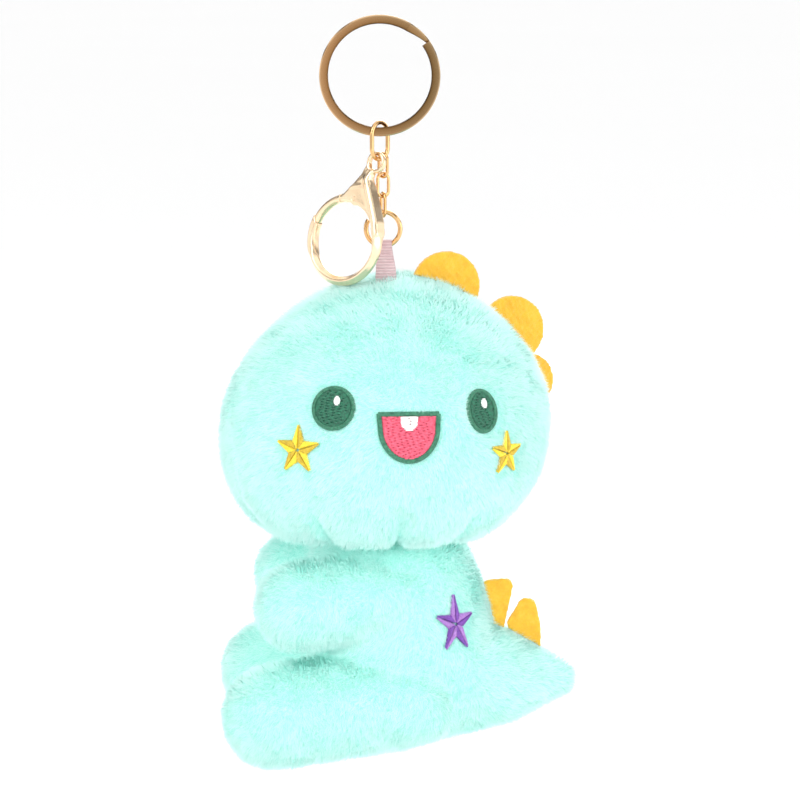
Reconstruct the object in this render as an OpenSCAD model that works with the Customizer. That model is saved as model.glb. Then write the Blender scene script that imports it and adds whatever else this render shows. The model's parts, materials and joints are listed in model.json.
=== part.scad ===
// Plush keychain: split ring, oval link, lobster clasp, short chain, jump ring, ribbon, seated plush dinosaur
// with felt spikes and a stitched face.
// The origin is the inside top of the split ring, where the ring hangs. -Y is the face side, +Z is up.

/* [Split ring] */
// Outside diameter of the split ring
ring_od = 30; // [26:0.5:34]
// Radial width of the ring's flat wire
ring_wire_w = 2.2; // [1.8:0.1:2.6]
// Thickness of one coil of the ring
coil_t = 1.0; // [0.8:0.05:1.2]
// Direction of the crossing where the front coil passes to the back, from +X
crossing_angle = 35; // [0:5:60]
// Arc that the crossing takes up
crossing_arc = 24; // [18:1:36]

/* [Links and chain] */
// Wire diameter of the oval link on the split ring
link_wire = 1.1; // [0.9:0.05:1.2]
// Outside width of the oval link
link_w = 6.9; // [6.6:0.1:7.4]
// Turn of the oval link about the vertical
link_turn = 48; // [44:1:56]
// Wire diameter of the chain links
chain_wire = 0.8; // [0.7:0.05:0.85]
// Outside width of a chain link
chain_w = 3.6; // [3.4:0.1:3.8]
// Outside length of a chain link
chain_l = 6.6; // [6:0.1:7.2]
// Outside diameter of the jump ring
jump_od = 9.7; // [9:0.1:10.5]
// Wire diameter of the jump ring
jump_wire = 1.2; // [1:0.05:1.3]

/* [Lobster clasp] */
// Outside radius of the clasp's round hook
hook_r = 11.5; // [10.8:0.1:12]
// Width of the hook's bar
bar_w = 2.2; // [2:0.1:2.5]
// Thickness of the clasp
clasp_t = 2.8; // [2.6:0.1:3.2]
// Radius of the hole in the clasp's eye
eye_hole_r = 1.8; // [1.7:0.05:1.9]
// Turn of the clasp about the vertical
clasp_turn = 38; // [34:1:42]
// Lean of the clasp towards the face side
clasp_lean = 12; // [10:1:16]
// Radius of the gate's pivot pin
pin_r = 0.55; // [0.45:0.05:0.65]
// Thickness of the gate's root, between the two cheeks
root_t = 1.2; // [1:0.1:1.4]

/* [Ribbon] */
// Width of the ribbon where it enters the head
ribbon_w = 5.2; // [4.6:0.1:6]
// Thickness of the ribbon
ribbon_t = 0.5; // [0.4:0.05:0.6]

/* [Head] */
// Half the width of the head, under its pile
head_a = 41.2; // [39.5:0.1:42]
// Half the depth of the head
head_b = 31.5; // [29:0.5:34]
// Height of the crown over the widest level
head_rise = 36.7; // [35:0.1:38]
// Depth of the head's rounding below the widest level
head_drop = 33; // [31:0.5:35]
// Turn of the face about the vertical
face_turn = 8.5; // [0:0.5:15]
// Thickness of the plush cloth's backing
cloth_t = 1.2; // [0.8:0.1:1.6]

/* [Body] */
// Half the length of the body, from belly to back
body_a = 24; // [22:0.5:26]
// Half the depth of the body
body_b = 18.5; // [17:0.5:20]
// Radius of the tail where it leaves the body
tail_r = 17; // [15:0.5:18]
// Radius of the tail's blunt tip
tail_tip_r = 5; // [4:0.5:6]
// Radius of an arm
arm_r = 11.3; // [10.5:0.1:11.7]
// Radius of a leg
leg_r = 13; // [12.2:0.1:13.4]

/* [Felt spikes] */
// Thickness of the felt
felt_t = 1.8; // [1.4:0.1:2.2]
// Radius of the largest spike's round top
spike_r = 8.7; // [7.9:0.1:9.1]

/* [Embroidery] */
// Thickness of the stitched patches
stitch_t = 0.6; // [0.4:0.05:0.8]
// Height of an eye
eye_h = 11.2; // [10:0.1:12]
// Width of the mouth
mouth_w = 15.8; // [14:0.1:17]
// Width of a cheek star
star_w = 10.6; // [9:0.1:12]

/* [Hidden] */
$fn = 64;

gold = "#d9a441";
bronze = "#9a7440";
mint = "#bff5ea";
white = "#f7f7f7";
felt = "#ffc93c";
thread_green = "#1f6b4f";

// Split ring
ring_r = ring_od / 2 - ring_wire_w / 2;
ring_z = -(ring_od / 2 - ring_wire_w);
coil_gap = 0.1;
coil_y = (coil_t + coil_gap) / 2;
ring_wire_z = ring_z - ring_r;

// Oval link: its top bend clears the square wire that it goes round
link_top_z = ring_wire_z + 2.3;
link_centre_h = 9.2;
link_l = link_centre_h + link_wire;
link_bottom_z = link_top_z - link_centre_h;
// The clasp's eye and the chain lie side by side on the link's bottom bend
side_step = 1.2;
link_dir = [cos(link_turn), sin(link_turn), 0];
bend_r = (link_w - link_wire) / 2;
bend_slope = asin(side_step / bend_r);
hang_z = link_bottom_z + bend_r * (1 - cos(bend_slope));

// Chain: each link's top wire rests on the wire below which it hangs
rest_gap = 0.1;
chain_step = chain_l - chain_wire;
chain_x = side_step * link_dir[0];
chain_y = side_step * link_dir[1];
chain_top_1 = hang_z + (link_wire + chain_wire) / 2 / cos(bend_slope) + rest_gap;
chain_top_2 = chain_top_1 - chain_step + chain_wire + rest_gap;
chain_top_3 = chain_top_2 - chain_step + chain_wire + rest_gap;
jump_top = chain_top_3 - chain_step + (chain_wire + jump_wire) / 2 + rest_gap;
jump_r = (jump_od - jump_wire) / 2;
jump_z = jump_top - jump_r;
jump_bottom = jump_z - jump_r;

// Clasp, in its own frame: X to the spine's side, Z up, the eye's centre at the origin
eye_wall = 0.95;
eye_x = -chain_x;
eye_y = -chain_y;
eye_z = hang_z - (eye_hole_r - link_wire / 2 - 0.3);
hook_x = -9.9;
hook_z = -18.5;
hook_in = hook_r - bar_w;
pivot = [-6.3, -8.6];
cheek_r = 4.3;
gate_reach = 12.9;
slot_gap = 0.1;
neck_t = 1.9;
neck_z = -5.2;
part_gap = 0.15;

// Head
head_z = -99;
head_cut = -127.6;
head_x = 1.3;
head_low = 2.5;
head_high = 1.76;
head_sides = 32;
head_rows = 15;
seam_turn = 15;

// Body
body_z = -158;
body_rise = 43;
body_drop = 22;
body_x = 5.5;
body_cut = -127.9;
body_sides = 28;
body_rows = 14;
tail_z = -163.5;
tail_start_x = 12;
tail_l = 33;
tail_droop = 1.7;
tail_bulge_x = 20;
tail_bulge_r = tail_r - 5;
skin_gap = 0.2;
lining = cloth_t + skin_gap;

// Limbs: [near or far side, root, tip], tips point to -X
arm_near_root = [6, -8, -141];
arm_near_tip = [-19.8, -16, -143.4];
arm_far_root = [6, 8, -139.6];
arm_far_tip = [-20.8, 14.5, -140.2];
leg_near_root = [8, -8.5, -167.2];
leg_near_tip = [-26.2, -17, -170.8];
leg_far_root = [8, 9, -163.4];
leg_far_tip = [-27.8, 19.5, -166.6];

// Face: angles to each side of its middle, and heights
eye_spread = 27.6;
eye_z_mid = -92.5;
mouth_z = -98.9;
mouth_h = mouth_w * 0.8;
star_spread = 39.5;
star_z = -103.9;
stitch_gap = 0.05;
felt_gap = 0.3;
hip_star_w = 11.5;

// ---------- soft forms ----------
// Width factor of a rounded form at an angle up from its bottom, f, with its own roundness above and below
function power(v, e) = v <= 0 ? 0 : pow(v, e);
function form_w(f, e_low, e_high) = power(sin(f), 2 / (f < 90 ? e_low : e_high));
function form_h(f, e_low, e_high) = (f < 90 ? -1 : 1) * power(abs(cos(f)), 2 / (f < 90 ? e_low : e_high));
// Angle up the head at which its surface is at height z
function level(z) = z > head_z
    ? 180 - acos(pow((z - head_z) / head_rise, head_high / 2))
    : acos(pow((head_z - z) / head_drop, head_low / 2));
function head_cx(z) = head_x + 0.06 * (z - head_z);
function head_cy(z) = 1 + 0.11 * (z - head_z);
function body_cx(z) = body_x - 0.11 * (z - body_z);

function head_point(f, t, grow) =
    let (up = form_h(f, head_low, head_high),
         z = head_z + up * ((f < 90 ? head_drop : head_rise) + grow),
         w = form_w(f, head_low, head_high))
    [head_cx(z) + (head_a + grow) * w * cos(t), head_cy(z) + (head_b + grow) * w * sin(t), z];

function body_point(f, t, grow) =
    let (up = form_h(f, 2.2, 2.2),
         z = body_z + up * ((f < 90 ? body_drop : body_rise) + grow),
         w = form_w(f, 2.2, 2.2))
    [body_cx(z) + (body_a + grow) * w * cos(t), (body_b + grow) * w * sin(t), z];

// Closed surface over a grid of points: rows of rings between a bottom and a top point
module skin_form(bottom, rings, top, sides) {
    pts = concat([bottom], [for (r = rings) each r], [top]);
    n = len(rings);
    end = len(pts) - 1;
    polyhedron(points = pts, faces = concat(
        [for (i = [0 : sides - 1]) [0, 1 + i, 1 + (i + 1) % sides]],
        [for (k = [0 : n - 2], i = [0 : sides - 1])
            let (p = 1 + k * sides, j = (i + 1) % sides)
            each [[p + i, p + sides + i, p + j], [p + j, p + sides + i, p + sides + j]]],
        [for (i = [0 : sides - 1]) [end, 1 + (n - 1) * sides + (i + 1) % sides, 1 + (n - 1) * sides + i]]));
}

module head_form(grow) {
    rings = [for (k = [1 : head_rows - 1])
        [for (i = [0 : head_sides - 1]) head_point(180 * k / head_rows, 360 * i / head_sides, grow)]];
    skin_form(head_point(0, 0, grow), rings, head_point(180, 0, grow), head_sides);
}

module torso_form(grow) {
    rings = [for (k = [1 : body_rows - 1])
        [for (i = [0 : body_sides - 1]) body_point(180 * k / body_rows, 360 * i / body_sides, grow)]];
    skin_form(body_point(0, 0, grow), rings, body_point(180, 0, grow), body_sides);
}

module above(z) translate([-100, -100, z]) cube([200, 200, 200]);
module below(z) translate([-100, -100, z - 200]) cube([200, 200, 200]);

module head_solid(grow) difference() {
    head_form(grow);
    below(head_cut - grow);
}

// Tail: full as far as its bulge, then quickly narrower to a blunt tip
module tail_form(grow) translate([tail_start_x, 0, tail_z]) rotate([0, 90 + tail_droop, 0]) {
    cylinder(r1 = tail_r + grow, r2 = tail_bulge_r + grow, h = tail_bulge_x);
    translate([0, 0, tail_bulge_x])
        cylinder(r1 = tail_bulge_r + grow, r2 = tail_tip_r + grow, h = tail_l - tail_bulge_x);
    translate([0, 0, tail_l]) sphere(r = tail_tip_r + grow);
}

module body_solid(grow) difference() {
    union() {
        torso_form(grow);
        tail_form(grow);
    }
    above(body_cut + grow);
}

// Sausage from one point to another
module sausage(from, to, r) {
    v = to - from;
    l = norm(v);
    translate(from) rotate([0, acos(v[2] / l), atan2(v[1], v[0])]) {
        cylinder(r = r, h = l);
        sphere(r = r);
        translate([0, 0, l]) sphere(r = r);
    }
}

// Cloth of a limb: open where the body closes it
module limb_cloth(root, tip, r) difference() {
    sausage(root, tip, r);
    sausage(root, tip, r - cloth_t);
    body_solid(skin_gap);
}

module limb_stuffing(root, tip, r) difference() {
    sausage(root, tip, r - lining);
    body_solid(2 * skin_gap);
}

// ---------- hardware ----------
// Flat wire's section, with eased corners, as [radial, axial] points about the wire's centre
function wire_section(w, t, c) = [
    [-w / 2 + c, -t / 2], [w / 2 - c, -t / 2], [w / 2, -t / 2 + c], [w / 2, t / 2 - c],
    [w / 2 - c, t / 2], [-w / 2 + c, t / 2], [-w / 2, t / 2 - c], [-w / 2, -t / 2 + c]];
ring_section = wire_section(ring_wire_w, coil_t, 0.22);

module coil(y) translate([0, y, ring_z]) rotate([90, 0, 0]) rotate([0, 0, crossing_angle + crossing_arc])
    rotate_extrude(angle = 360 - crossing_arc) translate([ring_r, 0]) polygon(ring_section);

// The wire that passes from the back coil to the front one, as a run of sections that end inside the coils.
// It is ground away on the inside towards the front coil's free end.
module crossing(steps) {
    section = wire_section(ring_wire_w - 0.02, coil_t - 0.02, 0.22);
    n = len(section);
    pts = [for (k = [-1 : steps + 1])
        let (way = min(max(k, 0), steps) / steps,
             t = crossing_angle + crossing_arc * way + (k < 0 ? -1 : k > steps ? 1 : 0),
             y = coil_y - 2 * coil_y * way,
             cut = 1.2 * pow(1 - way, 1.5))
        each [for (q = section)
            let (r = ring_r + q[0] + (q[0] < 0 ? cut : 0))
            [r * cos(t), y + q[1], ring_z + r * sin(t)]]];
    polyhedron(points = pts, faces = concat(
        [[for (i = [0 : n - 1]) i]],
        [for (k = [0 : steps + 1], i = [0 : n - 1])
            let (p = k * n, j = (i + 1) % n)
            each [[p + i, p + n + i, p + j], [p + j, p + n + i, p + n + j]]],
        [[for (i = [n - 1 : -1 : 0]) (steps + 2) * n + i]]));
}

module split_ring() color(bronze) {
    coil(-coil_y);
    coil(coil_y);
    crossing(8);
}

// Oval wire link in the XZ plane, its top bend's wire centre at the origin
module oval_link(length, width, wire) {
    r = (width - wire) / 2;
    straight = length - width;
    translate([0, 0, -r]) rotate([90, 0, 0]) rotate_extrude(angle = 180) translate([r, 0]) circle(d = wire);
    translate([0, 0, -r - straight]) rotate([-90, 0, 0])
        rotate_extrude(angle = 180) translate([r, 0]) circle(d = wire);
    for (side = [-1, 1])
        translate([side * r, 0, -r - straight]) cylinder(d = wire, h = straight);
}

module top_link() color(gold)
    translate([0, 0, link_top_z]) rotate([0, 0, link_turn]) oval_link(link_l, link_w, link_wire);

module chain_link(top, turn) color(gold)
    translate([chain_x, chain_y, top]) rotate([0, 0, turn]) oval_link(chain_l, chain_w, chain_wire);

module chain_link_1() chain_link(chain_top_1, link_turn - 90);
module chain_link_2() chain_link(chain_top_2, 18);
module chain_link_3() chain_link(chain_top_3, 110);

// Cut ring: its butted ends meet at the upper left
module jump_ring() color(gold)
    translate([chain_x, chain_y, jump_z]) rotate([90, 0, 0]) rotate([0, 0, 148])
        rotate_extrude(angle = 353) translate([jump_r, 0]) circle(d = jump_wire);

// Places a clasp part in the eye's frame
module clasp_place() translate([eye_x, eye_y, eye_z]) rotate([-clasp_lean, 0, 0]) rotate([0, 0, -clasp_turn])
    children();

// Plate of a flat outline in the clasp's plane, centred on its middle plane
module clasp_plate(t) rotate([90, 0, 0]) translate([0, 0, -t / 2]) linear_extrude(t) children();

module at_hook() translate([hook_x, hook_z]) children();
module at_pivot() translate(pivot) children();

module hook_band() at_hook() difference() {
    circle(r = hook_r, $fn = 128);
    circle(r = hook_in, $fn = 128);
}

// Round bar of the hook, with eased edges
module hook_bar() translate([hook_x, 0, hook_z]) rotate([90, 0, 0]) rotate_extrude($fn = 128)
    translate([hook_r - bar_w / 2, 0]) polygon(wire_section(bar_w, clasp_t, 0.55));

module shoulder_outline() difference() {
    polygon([[-2.2, -0.2], [-4.2, -2.6], [-8.3, -6.3], [hook_x, -7.5], [hook_x, hook_z],
             [hook_x + hook_r, hook_z], [1.35, -15], [0.4, -11], [-0.7, -7], [-1.3, -4], [-0.6, -2]]);
    at_hook() circle(r = hook_in + bar_w / 2, $fn = 128);
}

// Room for the gate: the left of the hook's bar, from the cheeks to the hook's tip
module gate_room() clasp_plate(clasp_t + 2) difference() {
    intersection() {
        at_pivot() circle(r = gate_reach + part_gap);
        translate([hook_x - 20, hook_z + 2]) square([20, 30]);
    }
    at_pivot() circle(r = cheek_r);
}

// Slot between the cheeks, open to the hook's hole, with a pocket for the spring
module root_slot() clasp_plate(root_t + 2 * slot_gap) {
    intersection() {
        at_pivot() circle(r = cheek_r + 1);
        translate([pivot[0] - 6, pivot[1] - 6]) square([6, 7.7]);
    }
    at_pivot() circle(r = 1.75);
    translate([pivot[0] - 0.5, pivot[1] - 3]) square([3.4, 6]);
}

module clasp_eye() rotate([90, 0, 0]) rotate_extrude()
    translate([eye_hole_r + eye_wall / 2, 0]) polygon(wire_section(eye_wall, 1.4, 0.3));

// The neck is thinner than the shoulder, to leave room for the chain beside it
module clasp_body() color(gold) clasp_place() {
    difference() {
        union() {
            hook_bar();
            clasp_plate(neck_t) shoulder_outline();
            clasp_plate(clasp_t) intersection() {
                shoulder_outline();
                translate([hook_x - 5, hook_z - 1]) square([20, neck_z - hook_z + 1]);
            }
        }
        gate_room();
        root_slot();
        translate([pivot[0], 0, pivot[1]]) rotate([90, 0, 0]) cylinder(r = pin_r, h = 10, center = true);
        rotate([90, 0, 0]) cylinder(r = eye_hole_r + eye_wall / 2, h = 10, center = true);
    }
    clasp_eye();
}

// Gate: a full-thickness arm along the hook's circle, and a thin root round the pin
module gate_arm() difference() {
    intersection() {
        at_hook() difference() {
            circle(r = hook_r - 0.1, $fn = 128);
            circle(r = hook_in + 0.1, $fn = 128);
        }
        at_pivot() circle(r = gate_reach);
        translate([hook_x - 20, hook_z + 2.15]) square([25, 30]);
    }
    translate([pivot[0], pivot[1] - 10]) square([20, 20]);
}

module clasp_gate() color(gold) clasp_place() difference() {
    union() {
        clasp_plate(clasp_t - 0.2) difference() {
            gate_arm();
            at_pivot() circle(r = cheek_r + part_gap);
        }
        clasp_plate(root_t) {
            intersection() {
                gate_arm();
                at_pivot() circle(r = cheek_r + 1);
            }
            at_pivot() circle(r = 1.6);
            translate([pivot[0], pivot[1] - 0.45]) square([2.3, 0.9]);
        }
    }
    translate([pivot[0], 0, pivot[1]]) rotate([90, 0, 0]) cylinder(r = pin_r + 0.05, h = 10, center = true);
}

module clasp_pin() color(gold) clasp_place() translate([pivot[0], 0, pivot[1]]) rotate([90, 0, 0])
    cylinder(r = pin_r - 0.01, h = clasp_t, center = true);

// Small coil spring over the gate's tail
module clasp_spring() color("silver") clasp_place() {
    r = 0.4;
    wire = 0.11;
    low = pivot[1] + 0.65;
    high = pivot[1] + 2.75;
    turns = 4;
    per_turn = 12;
    sides = 6;
    n = turns * per_turn;
    pts = [for (k = [0 : n])
        let (t = 360 * k / per_turn, z = low + (high - low) * k / n)
        each [for (s = [0 : sides - 1])
            let (q = 360 * s / sides, rr = r + wire * cos(q))
            [pivot[0] + 1.75 + rr * cos(t), rr * sin(t), z + wire * sin(q)]]];
    polyhedron(points = pts, faces = concat(
        [[for (i = [0 : sides - 1]) i]],
        [for (k = [0 : n - 1], i = [0 : sides - 1])
            let (p = k * sides, j = (i + 1) % sides)
            each [[p + i, p + sides + i, p + j], [p + j, p + sides + i, p + sides + j]]],
        [[for (i = [sides - 1 : -1 : 0]) n * sides + i]]));
}

// Ribbon over the jump ring's bottom, pinched at its bend and spread at the head
module ribbon_loop() color("#eec3cd") {
    bend_in = jump_wire / 2 + 0.5;
    bend_out = bend_in + ribbon_t;
    leg = 12;
    difference() {
        intersection() {
            translate([chain_x - ribbon_w, chain_y, jump_bottom]) rotate([90, 0, 90])
                linear_extrude(2 * ribbon_w) difference() {
                    union() {
                        circle(r = bend_out);
                        translate([-bend_out, -leg]) square([2 * bend_out, leg]);
                    }
                    circle(r = bend_in);
                    translate([-bend_in, -leg - 1]) square([2 * bend_in, leg + 1]);
                }
            translate([chain_x, 50, jump_bottom]) rotate([90, 0, 0]) linear_extrude(100)
                polygon([[-1.8, 3], [1.8, 3], [1.8, 1], [ribbon_w / 2 + 0.4, -8], [ribbon_w / 2 + 0.4, -20],
                         [-ribbon_w / 2 + 0.4, -20], [-ribbon_w / 2 + 0.4, -8], [-1.8, 1]]);
        }
        head_form(0.05);
    }
}

// ---------- plush head and body ----------
// Half space behind the head's side seam, which holds the spikes
module behind_seam(gap) translate([head_x, 1, 0]) rotate([0, 0, seam_turn])
    translate([-100, gap, -200]) cube([200, 200, 200]);

module head_shell() difference() {
    head_solid(0);
    head_solid(-cloth_t);
}

module head_panel_front() color(mint) difference() {
    head_shell();
    behind_seam(-0.05);
}

module head_panel_back() color(mint) intersection() {
    head_shell();
    behind_seam(0.05);
}

module head_stuffing() color(white) head_solid(-lining);

module body_shell() difference() {
    body_solid(0);
    body_solid(-cloth_t);
}

module body_panel_near() color(mint) intersection() {
    body_shell();
    translate([-100, -200.05, -250]) cube([200, 200, 200]);
}

module body_panel_far() color(mint) intersection() {
    body_shell();
    translate([-100, 0.05, -250]) cube([200, 200, 200]);
}

module body_stuffing() color(white) body_solid(-lining);

module arm_near() color(mint) limb_cloth(arm_near_root, arm_near_tip, arm_r);
module arm_near_stuffing() color(white) limb_stuffing(arm_near_root, arm_near_tip, arm_r);
module arm_far() color(mint) limb_cloth(arm_far_root, arm_far_tip, arm_r);
module arm_far_stuffing() color(white) limb_stuffing(arm_far_root, arm_far_tip, arm_r);
module leg_near() color(mint) limb_cloth(leg_near_root, leg_near_tip, leg_r);
module leg_near_stuffing() color(white) limb_stuffing(leg_near_root, leg_near_tip, leg_r);
module leg_far() color(mint) limb_cloth(leg_far_root, leg_far_tip, leg_r);
module leg_far_stuffing() color(white) limb_stuffing(leg_far_root, leg_far_tip, leg_r);

// ---------- felt spikes ----------
// Felt of a flat outline in the XZ plane
module felt_sheet() rotate([90, 0, 0]) translate([0, 0, -felt_t / 2]) linear_extrude(felt_t) children();

// Round-topped fin with its top's centre at the origin, widening down to its foot
module fin(r) felt_sheet() {
    circle(r = r);
    polygon([[-1.25 * r, -9], [1.25 * r, -9], [r, 0], [-r, 0]]);
}

// Fin on the head's seam: its top's centre at a reach and height in the upright plane that faces angle turn
module head_fin(turn, reach, z, slope, r) color(felt) difference() {
    translate([head_x, 1, z]) rotate([0, 0, turn]) translate([reach, 0, 0]) rotate([0, slope, 0]) fin(r);
    head_form(felt_gap);
}

module head_spike_1() head_fin(15, 15.7, -65.7, 23, spike_r);
module head_spike_2() head_fin(19, 33.6, -77.5, 46, spike_r * 0.98);
module head_spike_3() head_fin(28, 41.4, -91.6, 74, spike_r * 0.78);

// The back's fins lie in the middle plane: their feet run into the body, and their tops are arcs
function arc(centre, r, from, to) = [for (i = [0 : 8])
    let (t = from + (to - from) * i / 8) centre + [r * cos(t), r * sin(t)]];

module back_fin(outline) color(felt) difference() {
    felt_sheet() polygon(outline);
    body_solid(felt_gap);
}

module back_spike_1() back_fin(concat(
    [[24, -156], [22, -142], [27, -139.5]],
    arc([31.3, -141.2], 2.1, 90, 5),
    [[31.8, -148.6], [30.4, -156]]));
module back_spike_2() back_fin(concat(
    [[33, -159], [32, -150.2]],
    arc([36.9, -146.6], 2.5, 140, 10),
    [[40.5, -151.7], [40.4, -159]]));

// ---------- embroidery ----------
// Puts a flat patch on the head at an angle across from the face's middle and a height, standing off by gap
module on_head(across, z, gap) {
    t = 270 + face_turn + across;
    f = level(z - 0.022 * across);
    p = head_point(f, t, 0);
    u = head_point(f, t + 2, 0) - p;
    v = head_point(f + 2, t, 0) - p;
    n = cross(u, v) / norm(cross(u, v));
    translate(p + n * gap) rotate([-asin(n[2]), 0, atan2(n[0], -n[1])])
        rotate([90, 0, 0]) linear_extrude(stitch_t) children();
}

// Ellipse as points, so that it can be stretched
function oval(w, h, n) = [for (i = [0 : n - 1]) [w / 2 * cos(360 * i / n), h / 2 * sin(360 * i / n)]];

// Five-pointed star of a width and height
function star(w, h, inner) = [for (i = [0 : 9])
    let (r = i % 2 == 0 ? 1 : inner, a = 90 + 36 * i)
    [r * w / 1.9 * cos(a), r * h / 1.8 * sin(a)]];

// Smile: straight top, round below
function smile(w, h, n) = concat(
    [[-w / 2, 0], [w / 2, 0]],
    [for (i = [0 : n]) let (a = -180 * i / n) [w / 2 * cos(a) * 0.97, -h * 0.28 + h * 0.72 * sin(a)]]);

module eye_patch(across, w) color(thread_green) on_head(across, eye_z_mid, stitch_gap)
    polygon(oval(w, eye_h, 32));
module glint(across, shift) color(white) on_head(across, eye_z_mid, 2 * stitch_gap + stitch_t)
    translate([shift, 1.9]) polygon(oval(1.9, 2.6, 16));

module eye_left() eye_patch(-eye_spread, eye_h);
module eye_right() eye_patch(eye_spread, eye_h * 0.76);
module eye_glint_left() glint(-eye_spread, 1);
module eye_glint_right() glint(eye_spread, 0.9);

module mouth_outline() color(thread_green) on_head(0, mouth_z, stitch_gap) difference() {
    translate([0, mouth_h / 2]) polygon(smile(mouth_w, mouth_h, 24));
    translate([0, mouth_h / 2 - 1.35]) polygon(smile(mouth_w - 2.9, mouth_h - 2.7, 24));
}
module mouth_inside() translate([0, mouth_h / 2 - 1.4]) polygon(smile(mouth_w - 3, mouth_h - 2.8, 24));
module tooth_outline(grow) translate([0, mouth_h / 2 - 1.4]) polygon([
    [-2.3 - grow, 1], [2.3 + grow, 1], [2.1 + grow, -1.6 - grow],
    [0.9, -2.9 - grow], [-0.9, -2.9 - grow], [-2.1 - grow, -1.6 - grow]]);
module mouth_fill() color("#f0617e") on_head(0, mouth_z, stitch_gap) difference() {
    mouth_inside();
    tooth_outline(0.05);
}
module mouth_tooth() color(white) on_head(0, mouth_z, stitch_gap) intersection() {
    tooth_outline(0);
    mouth_inside();
}

module cheek_star(across, w) color("#f5d327") on_head(across, star_z, stitch_gap)
    polygon(star(w, star_w * 1.08, 0.42));
module cheek_star_left() cheek_star(-star_spread, star_w);
module cheek_star_right() cheek_star(star_spread, star_w * 0.95);

// Stitched star on the near hip
module hip_star() {
    p = body_point(100.5, -52, 0);
    u = body_point(100.5, -50, 0) - p;
    v = body_point(102.5, -52, 0) - p;
    n = cross(u, v) / norm(cross(u, v));
    color("#9b5fc0") translate(p + n * stitch_gap) rotate([-asin(n[2]), 0, atan2(n[0], -n[1])])
        rotate([90, 0, 0]) linear_extrude(stitch_t) polygon(star(hip_star_w, hip_star_w * 1.35, 0.36));
}

split_ring();
top_link();
clasp_body();
clasp_gate();
clasp_pin();
clasp_spring();
chain_link_1();
chain_link_2();
chain_link_3();
jump_ring();
ribbon_loop();
head_panel_front();
head_panel_back();
head_stuffing();
body_panel_near();
body_panel_far();
body_stuffing();
arm_near();
arm_near_stuffing();
arm_far();
arm_far_stuffing();
leg_near();
leg_near_stuffing();
leg_far();
leg_far_stuffing();
head_spike_1();
head_spike_2();
head_spike_3();
back_spike_1();
back_spike_2();
eye_left();
eye_right();
eye_glint_left();
eye_glint_right();
mouth_outline();
mouth_fill();
mouth_tooth();
cheek_star_left();
cheek_star_right();
hip_star();
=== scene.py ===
"""Looks of the plush keychain, in metres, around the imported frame. -Y is the face side and +Z is up."""

import json
import math

import bpy
import numpy as np
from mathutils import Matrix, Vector
from mathutils.bvhtree import BVHTree


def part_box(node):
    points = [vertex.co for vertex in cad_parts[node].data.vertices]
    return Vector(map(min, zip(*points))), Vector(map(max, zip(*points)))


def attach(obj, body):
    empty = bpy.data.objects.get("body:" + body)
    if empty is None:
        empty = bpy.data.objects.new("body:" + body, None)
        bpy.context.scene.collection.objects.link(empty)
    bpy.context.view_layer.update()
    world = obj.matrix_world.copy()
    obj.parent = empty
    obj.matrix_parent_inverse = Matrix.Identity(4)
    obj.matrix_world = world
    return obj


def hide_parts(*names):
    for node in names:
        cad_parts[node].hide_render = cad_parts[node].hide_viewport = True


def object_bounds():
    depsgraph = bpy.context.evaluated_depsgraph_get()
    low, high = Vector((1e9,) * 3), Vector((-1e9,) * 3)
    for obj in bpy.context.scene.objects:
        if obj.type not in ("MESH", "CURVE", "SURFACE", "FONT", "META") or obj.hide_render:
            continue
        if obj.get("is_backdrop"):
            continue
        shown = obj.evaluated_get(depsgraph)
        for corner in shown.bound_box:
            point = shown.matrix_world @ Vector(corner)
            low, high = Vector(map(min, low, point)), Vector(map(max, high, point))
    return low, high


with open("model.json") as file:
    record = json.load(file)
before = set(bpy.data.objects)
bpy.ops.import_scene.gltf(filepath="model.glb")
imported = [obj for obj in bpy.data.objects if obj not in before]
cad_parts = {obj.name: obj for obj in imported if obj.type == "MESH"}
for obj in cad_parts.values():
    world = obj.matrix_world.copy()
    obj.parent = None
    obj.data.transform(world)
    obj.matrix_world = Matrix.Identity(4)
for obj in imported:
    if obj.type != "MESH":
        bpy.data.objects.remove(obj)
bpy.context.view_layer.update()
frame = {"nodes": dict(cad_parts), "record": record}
MM = 0.001
# padded cloth
SWELL = 0.9 * MM
PRESSURE = 4
CLOTH_STEPS = 20
DART_DEPTH = 1.9 * MM
DART_SPREAD = 0.07  # radians round the neck
CREASE_REACH = 13 * MM  # how far off a skin still darkens its neighbour's pile with painted shade
# embroidery
THREAD = 0.36 * MM
PITCH = 0.33 * MM
# pile
PILE = 2.4 * MM
BLADE = 0.10 * MM
TUFT = 1.5 * MM
PILE_DENSITY = 11.0e6  # blades per square metre
LEAN = 46  # degrees off the skin's normal
# clasp, in mm as drawn in the CAD
HOOK_RADIUS = 10.4
BAR_HALF_WIDTH = 1.1
BAR_HALF_DEPTH = 1.4
EYE_DROP = 0.95  # from the clasp's swing axis down to the middle of its eye


# ---------------------------------------------------------------- small tools
def unit(v):
    """Vectors of length one, along the last axis."""
    v = np.asarray(v, float)
    return v / np.maximum(np.linalg.norm(v, axis=-1, keepdims=True), 1e-12)


def waves(points, size, seed, count=7):
    """Smooth random field from about -1 to 1 over points, with bumps of about size."""
    rng = np.random.default_rng(seed)
    total = np.zeros(len(points))
    for direction, phase, stretch in zip(
        unit(rng.normal(size=(count, 3))), rng.uniform(0, 2 * np.pi, count), rng.uniform(0.7, 1.5, count)
    ):
        total += np.sin(points @ direction * (2 * np.pi / (size * stretch)) + phase)
    return total / math.sqrt(count)


def smooth_step(v, low, high):
    t = np.clip((v - low) / (high - low), 0, 1)
    return t * t * (3 - 2 * t)


def middle(node):
    lo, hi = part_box(node)
    return (lo + hi) / 2


def size_of(node):
    lo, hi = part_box(node)
    return hi - lo


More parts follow.
